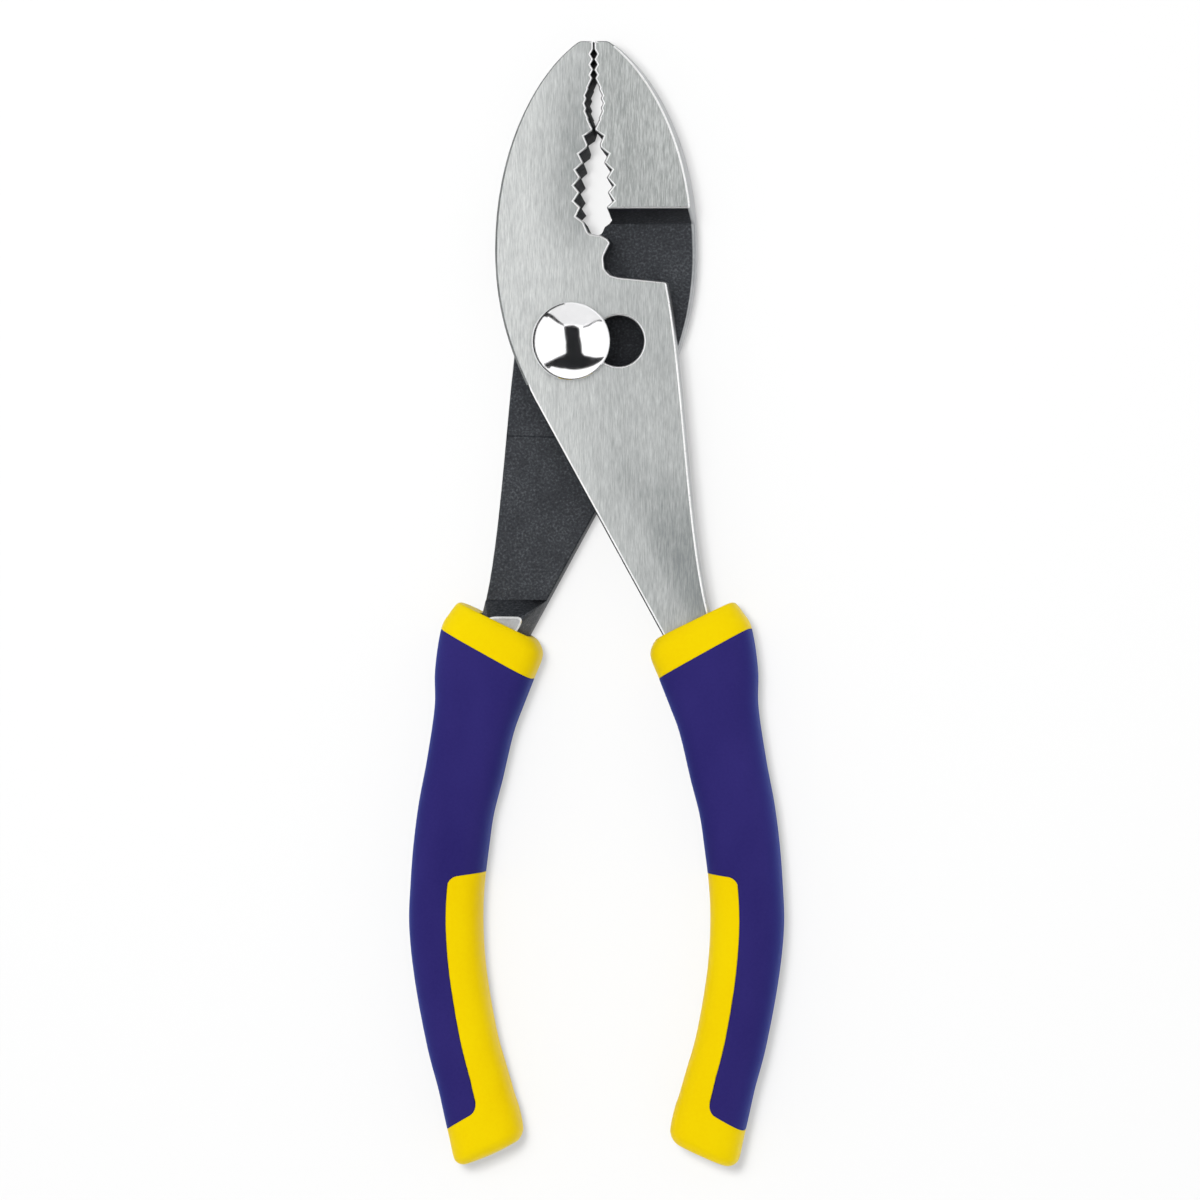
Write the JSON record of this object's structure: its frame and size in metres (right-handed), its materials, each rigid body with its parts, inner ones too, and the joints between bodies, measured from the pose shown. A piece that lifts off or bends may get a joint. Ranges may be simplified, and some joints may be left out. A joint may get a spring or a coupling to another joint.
{
  "type": "slip joint pliers",
  "caption": "Slip joint pliers with toothed jaws, a pipe grip, a shear cutter, a domed pivot bolt in a figure-eight slip slot, and two-colour moulded grips.",
  "frame": {"origin": "on the pivot axis, at the outer face of the nut, where the tool lies flat on a bench", "axes": "+Z along the pivot axis out of the bolt's domed head, +Y towards the jaw tips, +X to the right seen from the bolt's head"},
  "size_m": [0.0676, 0.2028, 0.016],
  "materials": {
    "front_steel": "brushed along the tool",
    "rear_steel": "brushed jaw, dark oxide on the lap face",
    "bolt_chrome": "polished",
    "nut_steel": "plain",
    "grip_yellow": "satin",
    "grip_blue": "satin"
  },
  "bodies": {
    "rear": {"rear_half": "rear_steel", "left_grip_core": "grip_yellow", "left_grip_sleeve": "grip_blue"},
    "pivot": {"pivot_bolt": "bolt_chrome", "pivot_nut": "nut_steel"},
    "front": {"front_half": "front_steel", "right_grip_core": "grip_yellow", "right_grip_sleeve": "grip_blue"}
  },
  "joints": [
    {"name": "jaw_pivot", "type": "hinge", "parent": "rear", "child": "pivot", "pos_m": [0, 0, 0], "axis": [0, 0, 1], "range_deg": [0, 65]},
    {"name": "slip_shift", "type": "slide", "parent": "pivot", "child": "front", "axis": [-1, 0, 0], "range_m": [0, 0.0086]}
  ]
}
